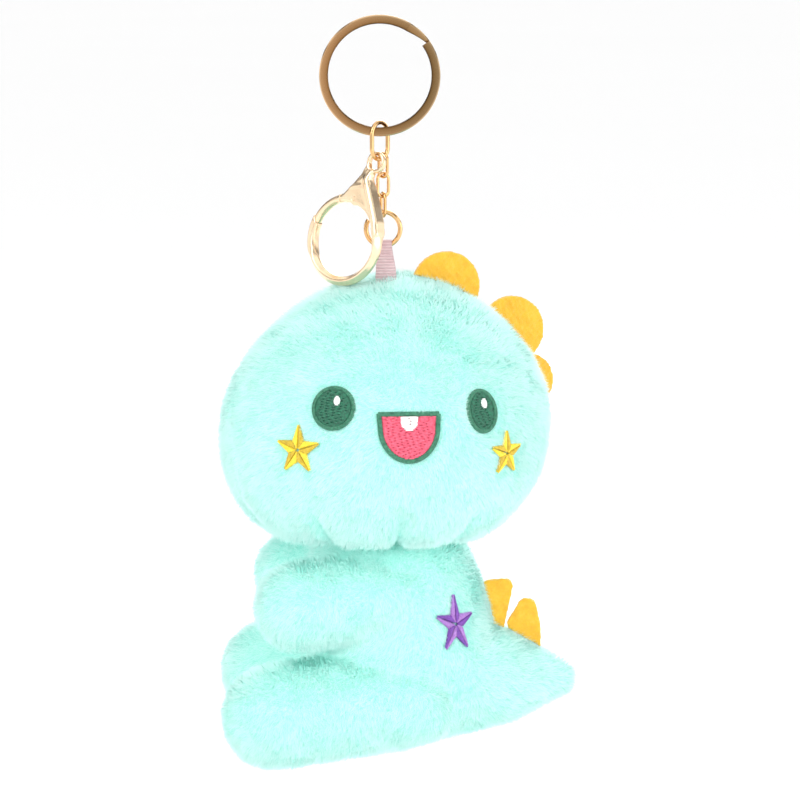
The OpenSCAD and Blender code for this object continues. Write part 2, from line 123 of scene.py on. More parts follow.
def new_mesh(name, points, corners, starts, slots=None):
    """Mesh from flat arrays: vertex points, vertex index of each corner, and first corner of each face."""
    me = bpy.data.meshes.new(name)
    me.vertices.add(len(points))
    me.vertices.foreach_set("co", np.asarray(points, np.float32).ravel())
    me.loops.add(len(corners))
    me.loops.foreach_set("vertex_index", np.asarray(corners, np.int32))
    me.polygons.add(len(starts))
    me.polygons.foreach_set("loop_start", np.asarray(starts, np.int32))
    if slots is not None:
        me.polygons.foreach_set("material_index", np.asarray(slots, np.int32))
    me.update(calc_edges=True)
    return me


def add_object(name, me, materials, body="plush", node=()):
    ob = bpy.data.objects.new(name, me)
    bpy.context.scene.collection.objects.link(ob)
    for m in materials:
        me.materials.append(m)
    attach(ob, body)
    if node:
        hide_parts(*node)
    return ob


def evaluated(ob):
    """Mesh of ob with its modifiers applied; ob itself is removed."""
    bpy.context.view_layer.update()
    got = bpy.data.meshes.new_from_object(ob.evaluated_get(bpy.context.evaluated_depsgraph_get()))
    bpy.data.objects.remove(ob)
    return got


def cad_copy(node):
    """A loose copy of a CAD solid, to be worked on."""
    part = bpy.data.objects.new("part", frame["nodes"][node].data.copy())
    bpy.context.scene.collection.objects.link(part)
    return part


def remesh(ob, voxel):
    fine = ob.modifiers.new("remesh", "REMESH")
    fine.mode = "VOXEL"
    fine.voxel_size = voxel


def soften(ob, rounds):
    soft = ob.modifiers.new("soft", "SMOOTH")
    soft.factor = 0.5
    soft.iterations = rounds


def rolled(node, voxel, rounds, swell=0.0):
    """The CAD solid of node as a fine mesh, its edges rolled by smoothing, then swollen back to size."""
    part = cad_copy(node)
    remesh(part, voxel)
    soften(part, rounds)
    me = evaluated(part)
    move_points(me, coordinates(me) + vertex_normals(me) * swell)
    me.materials.clear()
    me.shade_smooth()
    return me


def coordinates(me):
    co = np.empty(len(me.vertices) * 3, np.float32)
    me.vertices.foreach_get("co", co)
    return co.reshape(-1, 3).astype(float)


def vertex_normals(me):
    out = np.empty(len(me.vertices) * 3, np.float32)
    me.vertex_normals.foreach_get("vector", out)
    return out.reshape(-1, 3).astype(float)


def move_points(me, points):
    me.vertices.foreach_set("co", points.astype(np.float32).ravel())
    me.update()


# ---------------------------------------------------------------- materials
def set_stops(band, stops):
    """Fills a colour ramp from (position, colour) pairs."""
    while len(band.elements) < len(stops):
        band.elements.new(0.5)
    for element, (at, colour) in zip(band.elements, stops):
        element.position = at
        element.color = (*colour, 1)


class Look:
    """A Principled material with short calls for its nodes."""

    def __init__(self, name, **numbers):
        self.material = bpy.data.materials.new(name)
        self.material.use_nodes = True
        self.tree = self.material.node_tree
        self.shader = self.tree.nodes["Principled BSDF"]
        for key, value in numbers.items():
            self.shader.inputs[key.replace("_", " ").title().replace("Ior", "IOR")].default_value = value

    def node(self, kind, **values):
        n = self.tree.nodes.new("ShaderNode" + kind)
        for key, value in values.items():
            if hasattr(n, key) and key not in n.inputs:
                setattr(n, key, value)
            else:
                n.inputs[key].default_value = value
        return n

    def link(self, out, into):
        self.tree.links.new(out, into)

    def place(self):
        return self.node("TexCoord").outputs["Object"]

    def noise(self, scale, detail=3.0, roughness=0.5):
        n = self.node("TexNoise", Scale=scale, Detail=detail, Roughness=roughness)
        self.link(self.place(), n.inputs["Vector"])
        return n.outputs["Fac"]

    def ramp(self, value, stops):
        n = self.node("ValToRGB")
        set_stops(n.color_ramp, stops)
        self.link(value, n.inputs["Fac"])
        return n.outputs["Color"]

    def mix(self, factor, a, b):
        n = self.node("Mix", data_type="RGBA")
        if isinstance(factor, float):
            n.inputs[0].default_value = factor
        else:
            self.link(factor, n.inputs[0])
        self.link(a, n.inputs[6])
        self.link(b, n.inputs[7])
        return n.outputs[2]

    def colour(self, out):
        self.link(out, self.shader.inputs["Base Color"])

    def rough(self, value, low, high):
        n = self.node("MapRange", **{"To Min": low, "To Max": high})
        self.link(value, n.inputs["Value"])
        self.link(n.outputs["Result"], self.shader.inputs["Roughness"])

    def bump(self, height, depth):
        n = self.node("Bump", Distance=depth)
        self.link(height, n.inputs["Height"])
        self.link(n.outputs["Normal"], self.shader.inputs["Normal"])


def srgb(text):
    """Linear colour of an RRGGBB code."""
    values = [int(text[i : i + 2], 16) / 255 for i in (0, 2, 4)]
    return tuple(v / 12.92 if v <= 0.04045 else ((v + 0.055) / 1.055) ** 2.4 for v in values)


def metal(name, pale, deep, low, high, grain):
    """Plated wire or casting: slight tone drift, fine polishing marks and uneven gloss."""
    look = Look(name, metallic=1.0)
    drift = look.noise(140, 2)
    look.colour(look.ramp(drift, [(0.2, deep), (0.8, pale)]))
    look.rough(look.noise(900, 4, 0.65), low, high)
    look.bump(look.noise(2600, 3, 0.6), grain)
    return look.material


def ring_look():
    """Bronze plate on flat wire, with painted light: a painted highlight along the outer edge, painted
    shade inwards and on the spine's side.
    """
    look = Look("bronze_wire", metallic=1.0)
    centre = middle("split_ring")
    inner, outer = 0.4265 * size_of("split_ring").x, 0.5 * size_of("split_ring").x
    shift = look.node("VectorMath", operation="SUBTRACT")
    look.link(look.place(), shift.inputs[0])
    shift.inputs[1].default_value = centre
    flat = look.node("VectorMath", operation="MULTIPLY")
    look.link(shift.outputs["Vector"], flat.inputs[0])
    flat.inputs[1].default_value = (1, 0, 1)
    far = look.node("VectorMath", operation="LENGTH")
    look.link(flat.outputs["Vector"], far.inputs[0])
    across = look.node("MapRange", **{"From Min": inner, "From Max": outer})
    look.link(far.outputs["Value"], across.inputs["Value"])
    band = across.outputs["Result"]
    # painted highlight on the outer edge of the wire, painted shade towards its inner edge
    stops = (0.0, 0.3, 0.8, 1.0)
    painted_lit_side = look.ramp(band, list(zip(stops, map(srgb, ("7E5A32", "A57A50", "B68C62", "DCBE98")))))
    painted_shaded_side = look.ramp(band, list(zip(stops, map(srgb, ("46321E", "7A5F3C", "8C7250", "C6AC88")))))
    # painted shade: the +X side of the ring is darker than the -X side
    parts = look.node("SeparateXYZ")
    look.link(shift.outputs["Vector"], parts.inputs["Vector"])
    side = look.node("MapRange", **{"From Min": -outer, "From Max": outer})
    look.link(parts.outputs["X"], side.inputs["Value"])
    look.colour(look.mix(side.outputs["Result"], painted_lit_side, painted_shaded_side))
    look.rough(look.noise(900, 4, 0.65), 0.14, 0.24)
    look.bump(look.noise(2600, 3, 0.6), 0.006 * MM)
    return look.material


def pile_look(name, root, mid, tip, deep, shade):
    """Plush pile: colour by each strand's tone (U), which is mostly painted shade, and by the way up it
    (V), darker towards the root as painted shade deep in the pile; its own UV map holds both.
    """
    look = Look(name, roughness=0.85, specular_ior_level=0.1, sheen_weight=0.1, sheen_roughness=0.5)
    where = look.node("UVMap", uv_map="OFBake")
    parts = look.node("SeparateXYZ")
    look.link(where.outputs["UV"], parts.inputs["Vector"])
    tone, along = parts.outputs["X"], parts.outputs["Y"]
    lit = look.ramp(along, [(0.0, root), (0.45, mid), (1.0, tip)])
    # dim is a painted shade copy of the pile colour, used in creases and gathers
    dim = look.ramp(along, [(0.0, deep), (0.5, shade), (1.0, root)])
    look.colour(look.mix(tone, dim, lit))
    return look.material


def cloth_look(name, base, deep):
    """Knitted backing under the pile."""
    look = Look(name, roughness=0.95, specular_ior_level=0.1)
    look.colour(look.ramp(look.noise(700, 4, 0.7), [(0.3, deep), (0.75, base)]))
    look.bump(look.noise(2400, 3, 0.7), 0.4 * MM)
    return look.material


def felt_look(name, pale, base, deep):
    look = Look(name, roughness=0.95, specular_ior_level=0.08, sheen_weight=0.35, sheen_roughness=0.6)
    cloud = look.ramp(look.noise(420, 4, 0.6), [(0.25, deep), (0.55, base), (0.85, pale)])
    fibre = look.ramp(look.noise(3800, 3, 0.7), [(0.3, deep), (0.7, pale)])
    look.colour(look.mix(0.35, cloud, fibre))
    look.bump(look.noise(3200, 4, 0.75), 0.35 * MM)
    return look.material


def thread_look(name, pale, deep):
    """Shiny embroidery thread with a fine twist."""
    look = Look(name, roughness=0.38, specular_ior_level=0.55, sheen_weight=0.15)
    look.colour(look.ramp(look.noise(1500, 3, 0.6), [(0.3, deep), (0.7, pale)]))
    look.bump(look.noise(6500, 2, 0.5), 0.06 * MM)
    return look.material


def ribbon_look():
    """Grosgrain: fine cross ribs, with painted shade a little darker between them."""
    look = Look("ribbon_pink", roughness=0.55, sheen_weight=0.2)
    ribs = look.node("TexWave", wave_type="BANDS", bands_direction="Z", Scale=430.0, Distortion=0.6)
    ribs.inputs["Detail Scale"].default_value = 2.0
    look.link(look.place(), ribs.inputs["Vector"])
    shade = look.ramp(ribs.outputs["Fac"], [(0.1, srgb("BE9AA0")), (0.6, srgb("DABCC0"))])
    drift = look.ramp(look.noise(900, 3), [(0.3, srgb("CAA6AB")), (0.7, srgb("E2CACD"))])
    look.colour(look.mix(0.4, shade, drift))
    look.bump(ribs.outputs["Fac"], 0.12 * MM)
    return look.material


gold = metal("gold_wire", srgb("E2BD8C"), srgb("CC9C62"), 0.08, 0.18, 0.006 * MM)
cast = metal("gold_cast", srgb("F2DCBE"), srgb("E6C8A2"), 0.2, 0.28, 0.004 * MM)
bronze = ring_look()
steel = metal("spring_steel", srgb("D8D8D8"), srgb("A9A9A9"), 0.2, 0.35, 0.01 * MM)
# the last two colours are painted shade for the pile's creases and gathers
mint_pile = pile_look("mint_pile", *map(srgb, ("C5F9F0", "D5FEF8", "E1FFFB", "72DFCF", "9CEDE1")))
mint_cloth = cloth_look("mint_cloth", srgb("C0F9F0"), srgb("9EEBDF"))
felt = felt_look("yellow_felt", srgb("FFD450"), srgb("FFC22C"), srgb("F0A616"))
green = thread_look("green_thread", srgb("1F7A5A"), srgb("0D4A38"))
rim_green = thread_look("rim_green_thread", srgb("3F8C6C"), srgb("175A43"))
pink = thread_look("pink_thread", srgb("F46E88"), srgb("D84562"))
white = thread_look("white_thread", srgb("FFFFFF"), srgb("DDE6E2"))
yellow = thread_look("yellow_thread", srgb("FBE23C"), srgb("E8C81E"))
amber = thread_look("amber_thread", srgb("DDBF2A"), srgb("B8961A"))
violet = thread_look("violet_thread", srgb("B584D0"), srgb("9058B0"))
plum = thread_look("plum_thread", srgb("8546B4"), srgb("5E2C8C"))


# ---------------------------------------------------------------- padded skins
def skin(name, sources, grow, voxel, rounds, node):
    """Closed padded form: the CAD solids, each grown outwards, fused and smoothed."""
    grown = []
    for source in sources:
        part = cad_copy(source)
        remesh(part, voxel)
        push = part.modifiers.new("push", "DISPLACE")
        push.mid_level = 0
        push.strength = grow
        grown.append(evaluated(part))
    points = np.concatenate([coordinates(g) for g in grown])
    corners, starts, base = [], [], 0
    for g in grown:
        ids = np.empty(len(g.loops), np.int32)
        g.loops.foreach_get("vertex_index", ids)
        begin = np.empty(len(g.polygons), np.int32)
        g.polygons.foreach_get("loop_start", begin)
        starts.append(begin + sum(len(c) for c in corners))
        corners.append(ids + base)
        base += len(g.vertices)
    joined = new_mesh(name, points, np.concatenate(corners), np.concatenate(starts))
    whole = bpy.data.objects.new(name, joined)
    bpy.context.scene.collection.objects.link(whole)
    remesh(whole, voxel)
    soften(whole, rounds)
    me = evaluated(whole)
    me.name = name
    me.shade_smooth()
    me.materials.clear()
    ob = add_object(name, me, [mint_cloth], "plush", node)
    ob.visible_shadow = False
    return ob


def triangles(me):
    me.calc_loop_triangles()
    ids = np.empty(len(me.loop_triangles) * 3, np.int32)
    me.loop_triangles.foreach_get("vertices", ids)
    return ids.reshape(-1, 3)


def surface(me):
    return BVHTree.FromPolygons([tuple(p) for p in coordinates(me)], [tuple(t) for t in triangles(me)])


def shelter(me, trees, reach, rays=12):
    """How closed in each vertex is by the skins round it, from 0 in the open to 1 deep in a crease."""
    rng = np.random.default_rng(2)
    ways = unit(rng.normal(size=(rays, 3)) + np.array([0, 0, 1.1]))
    closed = []
    for p, n in zip(coordinates(me), vertex_normals(me)):
        normal = Vector(n)
        turn = Vector((0, 0, 1)).rotation_difference(normal)
        start = Vector(p) + normal * 1.2 * MM
        total = 0.0
        for way in ways:
            direction = turn @ Vector(way)
            near = [hit[3] for hit in (tree.ray_cast(start, direction, reach) for tree in trees) if hit[3]]
            total += 1 - min(near) / reach if near else 0
        closed.append(total / rays)
    return np.array(closed)


def inflate(ob, held):
    """Filled cloth: pressure swells the skin by up to SWELL, while its darts and creases are held."""
    me = ob.data
    start, up = coordinates(me), vertex_normals(me)
    group = ob.vertex_groups.new(name="held")
    for i, weight in enumerate(held):
        group.add([i], float(weight), "REPLACE")
    cloth = ob.modifiers.new("cloth", "CLOTH")
    cloth.settings.quality = 4
    cloth.settings.mass = 0.2
    cloth.settings.tension_stiffness = 12
    cloth.settings.compression_stiffness = 12
    cloth.settings.shear_stiffness = 4
    cloth.settings.bending_stiffness = 0.4
    cloth.settings.use_pressure = True
    cloth.settings.uniform_pressure_force = PRESSURE
    cloth.settings.effector_weights.gravity = 0
    cloth.settings.vertex_group_mass = "held"
    cloth.collision_settings.use_collision = False
    cloth.point_cache.frame_end = CLOTH_STEPS
    for step in range(1, CLOTH_STEPS + 1):
        bpy.context.scene.frame_set(step)
    swollen = ob.evaluated_get(bpy.context.evaluated_depsgraph_get())
    moved = coordinates(swollen.data)
    ob.modifiers.remove(cloth)
    ob.vertex_groups.remove(group)
    bpy.context.scene.frame_set(1)
    move = moved - start
    far = np.linalg.norm(move, axis=1, keepdims=True)
    move *= np.minimum(1, SWELL / np.maximum(far, 1e-9))
    move_points(me, start + move)


# ---------------------------------------------------------------- embroidery
class Patch:
    """A flat drawing board against a skin: u to the right, v up, both in metres."""

    def __init__(self, node, tree):
        centre = middle(node)
        hit, normal, _, _ = tree.find_nearest(centre)
        self.tree = tree
        self.centre = hit
        self.normal = normal
        self.right = Vector((-normal.y, normal.x, 0)).normalized()
        self.up = normal.cross(self.right).normalized()

    def at(self, u, v, height):
        """Point over the skin, and the skin's normal there."""
        start = self.centre + self.right * u + self.up * v + self.normal * 0.02
        hit, normal, _, _ = self.tree.ray_cast(start, -self.normal, 0.05)
        if hit is None:
            hit, normal = self.centre + self.right * u + self.up * v, self.normal
        return hit + normal * height, normal

    def flat(self, points):
        """Where points lie on the board, as (u, v), and their height off it."""
        rel = points - np.array(self.centre)
        return (
            np.stack([rel @ np.array(self.right), rel @ np.array(self.up)], 1),
            rel @ np.array(self.normal),
        )


def inside(points, outline):
    """Which 2-D points lie in a closed outline, and each one's distance from its edge."""
    a = np.asarray(outline, float)
    b = np.roll(a, -1, axis=0)
    odd = np.zeros(len(points), bool)
    least = np.full(len(points), 1e9)
    for p, q in zip(a, b):
        edge = q - p
        crosses = (p[1] > points[:, 1]) != (q[1] > points[:, 1])
        rise = edge[1] if abs(edge[1]) > 1e-12 else 1e-12
        odd ^= crosses & (points[:, 0] < p[0] + edge[0] * (points[:, 1] - p[1]) / rise)
        t = np.clip(((points - p) @ edge) / max(edge @ edge, 1e-18), 0, 1)
        least = np.minimum(least, np.linalg.norm(points - p - t[:, None] * edge, axis=1))
    return odd, least


def spans(outline, origin, direction):
    """Where the line from origin along direction lies inside the outline, as pairs of distances."""
    a = np.asarray(outline, float)
    b = np.roll(a, -1, axis=0)
    across = np.array([-direction[1], direction[0]])
    hits = []
    for p, q in zip(a, b):
        s, t = (p - origin) @ across, (q - origin) @ across
        if (s > 0) != (t > 0):
            w = s / (s - t)
            hits.append((p + (q - p) * w - origin) @ direction)
    hits.sort()
    return list(zip(hits[::2], hits[1::2]))


def fill_rows(outline, pitch, reach, seed):
    """Fill stitches: level rows, each broken into stitches of about reach, like brickwork."""
    rng = np.random.default_rng(seed)
    direction, across = np.array([1.0, 0.0]), np.array([0.0, 1.0])
    levels = np.asarray(outline) @ across
    made = []
    for row, level in enumerate(np.arange(levels.min() + pitch / 2, levels.max(), pitch)):
        origin = across * level
        for lo, hi in spans(outline, origin, direction):
            cuts = [lo]
            at = lo + reach * (0.35 + 0.5 * (row % 2) + 0.15 * rng.uniform())
            while at < hi - reach * 0.35:
                cuts.append(at)
                at += reach * rng.uniform(0.9, 1.1)
            cuts.append(hi)
            made += [(origin + direction * s, origin + direction * t) for s, t in zip(cuts, cuts[1:])]
    return made


def border(outline, inner, outer, pitch):
    """Satin stitches across a closed outline, from inner to outer beyond it."""
    a = np.asarray(outline, float)
    a = np.vstack([a, a[:1]])
    steps = np.linalg.norm(np.diff(a, axis=0), axis=1)
    far = np.concatenate([[0], np.cumsum(steps)])
    centre = a.mean(0)
    made = []
    for s in np.arange(0, far[-1], pitch):
        i = min(np.searchsorted(far, s, side="right") - 1, len(steps) - 1)
        w = (s - far[i]) / steps[i]
        p = a[i] + (a[i + 1] - a[i]) * w
        tangent = unit(a[i + 1] - a[i])
        normal = np.array([tangent[1], -tangent[0]])
        if normal @ (p - centre) < 0:
            normal = -normal
        made.append((p - normal * inner, p + normal * outer))
    return made


def stitches(board, runs, slot, width, rise, base):
    """Thread for each run: a rounded strip over the skin whose ends dip into the cloth."""
    steps, sides = 7, 5
    points, corners, slots = [], [], []
    for (start, end), which in zip(runs, slot):
        along = np.linspace(0, 1, steps)
        direction = unit(end - start)
        side3 = board.right * -direction[1] + board.up * direction[0]
        first = len(points)
        for s in along:
            u, v = start + (end - start) * s
            lift = base + rise * max(math.sin(math.pi * s), 0.0) ** 0.35 - (0.3 * MM if s in (0, 1) else 0)
            place, normal = board.at(u, v, lift)
            for k in range(sides):
                a = math.pi * k / (sides - 1)
                beside, over = math.cos(a) * width / 2, math.sin(a) * width * 0.42
                points.append(place + side3 * beside + normal * over)
        for i in range(steps - 1):
            for k in range(sides - 1):
                p = first + i * sides + k
                corners += [p, p + sides, p + sides + 1, p + 1]
                slots.append(which)
    return points, corners, slots


def embroider(name, board, layers, materials, node):
    """One stitched motif from layers of (runs, slots, width, rise, base)."""
    points, corners, slots = [], [], []
    for runs, which, width, rise, base in layers:
        p, c, s = stitches(board, runs, which, width, rise, base)
        corners += [i + len(points) for i in c]
        points += p
        slots += s
    me = new_mesh(name, [tuple(p) for p in points], corners, np.arange(0, len(corners), 4), slots)
    me.shade_smooth()
    return add_object(name, me, materials, "plush", node)


def oval(w, h, count=40, dx=0.0, dy=0.0):
    t = np.linspace(0, 2 * np.pi, count, endpoint=False)
    return np.stack([dx + w / 2 * np.cos(t), dy + h / 2 * np.sin(t)], 1)


def smile(w, h, count=28):
    """Straight top with a round bowl below it, centred."""
    t = np.linspace(0, np.pi, count)
    bowl = np.stack([w / 2 * 0.97 * np.cos(t), h / 2 - h * 0.28 - h * 0.72 * np.sin(t)], 1)
    return np.vstack([[(-w / 2, h / 2)], [(w / 2, h / 2)], bowl])


def star_points(w, h, inner):
    t = np.pi / 2 + np.arange(10) * np.pi / 5
    r = np.where(np.arange(10) % 2 == 0, 1.0, inner)
    return np.stack([r * w / 1.9 * np.cos(t), r * h / 1.81 * np.sin(t)], 1)


def star_runs(outline, pitch):
    """Satin facets: each arm in two halves, with the thread slanting from the arm's ridge to its edge."""
    runs, slots = [], []
    centre = outline.mean(0)
    for k in range(0, 10, 2):
        tip, left, right = outline[k], outline[(k + 1) % 10], outline[k - 1]
        axis = unit(tip - centre)
        for which, corner in enumerate((left, right)):
            facet = np.array([centre, corner, tip])
            slant = unit(unit(corner - centre) * 0.9 - axis * 0.35)
            for s in np.arange(pitch / 2, np.linalg.norm(tip - centre), pitch):
                start = centre + axis * s
                got = [t for span in spans(facet, start + slant * 1e-6, slant) for t in span if t > 1e-5]
                if got and max(got) > 0.35 * MM:
                    runs.append((start, start + slant * max(got)))
                    slots.append(which)
    return runs, slots


# ---------------------------------------------------------------- pile
def pile(name, me, region, comb, keep, tone, seed):
    """Plush pile over part of a skin: thin tapered blades that lean along comb and draw into soft tufts."""
    rng = np.random.default_rng(seed)
    points, normals, tris = coordinates(me), vertex_normals(me), triangles(me)
    tris = tris[region(points[tris].mean(axis=1))]
    a, b, c = (points[tris[:, i]] for i in range(3))
    areas = np.linalg.norm(np.cross(b - a, c - a), axis=1) / 2
    count = int(areas.sum() * PILE_DENSITY)
    pick = np.searchsorted(np.cumsum(areas), rng.uniform(0, areas.sum(), count))
    pick = np.minimum(pick, len(tris) - 1)
    r, s = np.sqrt(rng.uniform(size=count)), rng.uniform(size=count)
    weights = np.stack([1 - r, r * (1 - s), r * s], 1)
    roots = np.einsum("nk,nkd->nd", weights, points[tris[pick]])
    up = unit(np.einsum("nk,nkd->nd", weights, normals[tris[pick]]))
    # depth: painted shade taken from tone, deepest in creases and in the neck's gathers
    depth = np.einsum("nk,nk->n", weights, tone[tris[pick]])
    factor = keep(roots, up)
    stay = rng.uniform(size=count) < np.clip(factor * 4, 0, 1)
    roots, up, factor, depth = roots[stay], up[stay], factor[stay], depth[stay]
    count = len(roots)
    flow = comb(roots)
    flow = flow + 0.30 * np.stack([waves(roots, 11 * MM, seed + i) for i in range(3)], 1)
    flow = flow + 0.30 * rng.normal(size=(count, 3))
    flow = unit(flow - (flow * up).sum(1, keepdims=True) * up)
    lean = np.radians(LEAN + 6 * waves(roots, 6 * MM, seed + 7) + rng.normal(0, 10, count))[:, None]
    reach = PILE * np.clip(factor, 0.3, 1) * rng.uniform(0.65, 1.15, count)
    reach = (reach * (1 + 0.06 * waves(roots, 5 * MM, seed + 9)))[:, None]
    low = up * np.cos(lean * 0.55) + flow * np.sin(lean * 0.55)
    high = up * np.cos(lean * 1.2) + flow * np.sin(lean * 1.2)
    mid = roots + low * reach * 0.5
    tip = mid + high * reach * 0.55
    # the tips of each small cell draw together
    warp = np.stack([waves(roots, 5 * MM, seed + 20 + i) for i in range(3)], 1) * 0.6 * MM
    cell = np.floor((roots + warp) / TUFT).astype(np.int64)
    key = (cell[:, 0] * 73856093) ^ (cell[:, 1] * 19349663) ^ (cell[:, 2] * 83492791)
    _, group = np.unique(key, return_inverse=True)
    amount = np.bincount(group)[:, None]
    mean = np.stack([np.bincount(group, tip[:, i]) for i in range(3)], 1) / amount
    pull = 0.16 * rng.uniform(0.3, 1.0, (count, 1))
    tip = tip + (mean[group] - tip) * pull
    mid = mid + (mean[group] - mid) * pull * 0.25
    side = unit(np.cross(flow, up) + 0.25 * rng.normal(size=(count, 3)))
    half = (BLADE / 2 * rng.uniform(0.75, 1.2, count))[:, None]
    foot = roots - up * 0.25 * MM
    verts = np.stack(
        [foot - side * half, foot + side * half, mid - side * half * 0.8, mid + side * half * 0.8, tip], 1
    ).reshape(-1, 3)
    base = np.arange(count)[:, None] * 5
    corners = (base + np.array([0, 1, 3, 2, 2, 3, 4])).ravel()
    starts = (np.arange(count)[:, None] * 7 + np.array([0, 4])).ravel()
    out = new_mesh(name, verts, corners, starts)
    # each blade's tone: random variation, less painted shade (depth) in creases and gathers
    shade = 0.92 + 0.05 * waves(roots, 9 * MM, seed + 30) + rng.normal(0, 0.05, count) - depth
    shade = np.clip(shade, 0.02, 0.98)
    chart = np.empty((count, 7, 2), np.float32)
    chart[:, :, 0] = shade[:, None] + np.array([-1, 1, 1, -1, -1, 1, 0]) * 0.006
    chart[:, :, 1] = np.array([0.01, 0.01, 0.5, 0.5, 0.5, 0.5, 0.99])
    layer = out.uv_layers.new(name="OFBake")
    layer.data.foreach_set("uv", chart.ravel())
    upright = up[:, None, :] * np.array([1, 1, 0.95, 0.95, 0.9])[None, :, None]
    bend = unit(upright + (high * 0.15)[:, None, :])
    out.normals_split_custom_set_from_vertices(bend.reshape(-1, 3).astype(np.float32))
    ob = add_object(name, out, [mint_pile])
    # real pile is translucent: light passes through it, and its creases stay tinted rather than dark; that
    # tint is painted shade from each blade's tone
    ob.visible_shadow = False
    return ob


# ---------------------------------------------------------------- head
head_lo, head_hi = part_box("head_stuffing")
head_mid = np.array((head_lo + head_hi) / 2)
head_nodes = ["head_panel_front", "head_panel_back", "head_stuffing"]
head = skin("head_skin", ["head_stuffing"], 0.8 * MM, 1.2 * MM, 8, head_nodes)


GATHERS = np.radians([-112, -72, -33, 9, 47, 84, 118, 155, 198])


def gather(points):
    """How deep in one of the neck's gathered darts points lie, from 0 to 1."""
    around = np.arctan2(points[:, 0] - head_mid[0], -(points[:, 1] - head_mid[1]))
    low = 1 - smooth_step(points[:, 2], head_lo.z + 3 * MM, head_lo.z + 13 * MM)
    low = low * smooth_step(points[:, 2], head_lo.z - 9 * MM, head_lo.z - 4 * MM)
    gap = np.angle(np.exp(1j * (around[:, None] - GATHERS)))
    return low * np.exp(-((gap / DART_SPREAD) ** 2)).sum(1)


def pull_in_gathers(me):
    co = coordinates(me)
    move_points(me, co - vertex_normals(me) * (DART_DEPTH * gather(co))[:, None])


pull_in_gathers(head.data)
inflate(head, np.clip(1.6 * gather(coordinates(head.data)), 0, 1))
head_tree = surface(head.data)
eye_left = Patch("eye_left", head_tree)
eye_right = Patch("eye_right", head_tree)
mouth = Patch("mouth_outline", head_tree)
star_left = Patch("cheek_star_left", head_tree)
star_right = Patch("cheek_star_right", head_tree)


def eye(name, board, w, h, glint_shift, nodes):
    inner = oval(w - 1.7 * MM, h - 1.7 * MM)
    edge = oval(w - 1.0 * MM, h - 1.0 * MM)
    shine = oval(1.7 * MM, 2.3 * MM, dx=glint_shift, dy=1.7 * MM)
    fill = fill_rows(inner, PITCH, 3.2 * MM, 3)
    rim = border(edge, 0.55 * MM, 0.5 * MM, PITCH * 0.95)
    spark = fill_rows(shine, PITCH, 4 * MM, 5)
    embroider(
        name,
        board,
        [
            (fill, [0] * len(fill), THREAD, 0.12 * MM, 0.5 * MM),
            (rim, [1] * len(rim), THREAD, 0.22 * MM, 0.5 * MM),
            (spark, [2] * len(spark), THREAD, 0.2 * MM, 0.85 * MM),
        ],
        [green, rim_green, white],
        nodes,
    )
    return oval(w, h)


def mouth_motif(board, w, h):
    outline = smile(w - 1.3 * MM, h - 1.3 * MM)
    inner = smile(w - 2.4 * MM, h - 2.4 * MM)
    tooth = np.array([(-2.2, 4.9), (2.2, 4.9), (2.0, 2.8), (0.8, 1.7), (-0.8, 1.7), (-2.0, 2.8)]) * MM
    fill = fill_rows(inner, PITCH, 2.8 * MM, 8)
    rim = border(outline, 0.65 * MM, 0.6 * MM, PITCH * 0.95)
    bite = fill_rows(tooth, PITCH, 5 * MM, 9)
    embroider(
        "mouth",
        board,
        [
            (fill, [0] * len(fill), THREAD, 0.12 * MM, 0.5 * MM),
            (rim, [1] * len(rim), THREAD, 0.25 * MM, 0.55 * MM),
            (bite, [2] * len(bite), THREAD, 0.2 * MM, 0.8 * MM),
        ],
        [pink, rim_green, white],
        ["mouth_outline", "mouth_fill", "mouth_tooth"],
    )
    return smile(w, h)


def star_motif(name, board, w, h, inner, materials, node):
    outline = star_points(w, h, inner)
    runs, slots = star_runs(outline, PITCH * 0.9)
    embroider(name, board, [(runs, slots, THREAD, 0.3 * MM, 0.55 * MM)], materials, [node])
    return outline


eyes = [
    eye("eye_left_stitched", eye_left, 11.0 * MM, 11.1 * MM, 0.8 * MM, ["eye_left", "eye_glint_left"]),
    eye("eye_right_stitched", eye_right, 8.5 * MM, 11.0 * MM, 0.6 * MM, ["eye_right", "eye_glint_right"]),
]
stars = [
    star_motif(name, board, w * MM, h * MM, 0.42, [yellow, amber], node)
    for name, board, w, h, node in (
        ("star_left_stitched", star_left, 12.2, 12.4, "cheek_star_left"),
        ("star_right_stitched", star_right, 10.2, 11.6, "cheek_star_right"),
    )
]
motifs = [
    (eye_left, eyes[0]),
    (eye_right, eyes[1]),
    (mouth, mouth_motif(mouth, 15.8 * MM, 12.7 * MM)),
    (star_left, stars[0]),
    (star_right, stars[1]),
]

# ---------------------------------------------------------------- body
limbs = ["arm_near", "arm_far", "leg_near", "leg_far"]
body = skin(
    "body_skin",
    ["body_stuffing"] + [limb + "_stuffing" for limb in limbs],
    0.8 * MM,
    1.2 * MM,
    22,
    ["body_panel_near", "body_panel_far", "body_stuffing"] + limbs + [limb + "_stuffing" for limb in limbs],
)
creases = shelter(body.data, [surface(body.data)], 10 * MM)
inflate(body, np.clip(2.0 * creases, 0, 1))
body_tree = surface(body.data)
hip = Patch("hip_star", body_tree)
hip_motifs = [
    (hip, star_motif("hip_star_stitched", hip, 11.5 * MM, 15.5 * MM, 0.36, [violet, plum], "hip_star")),
]


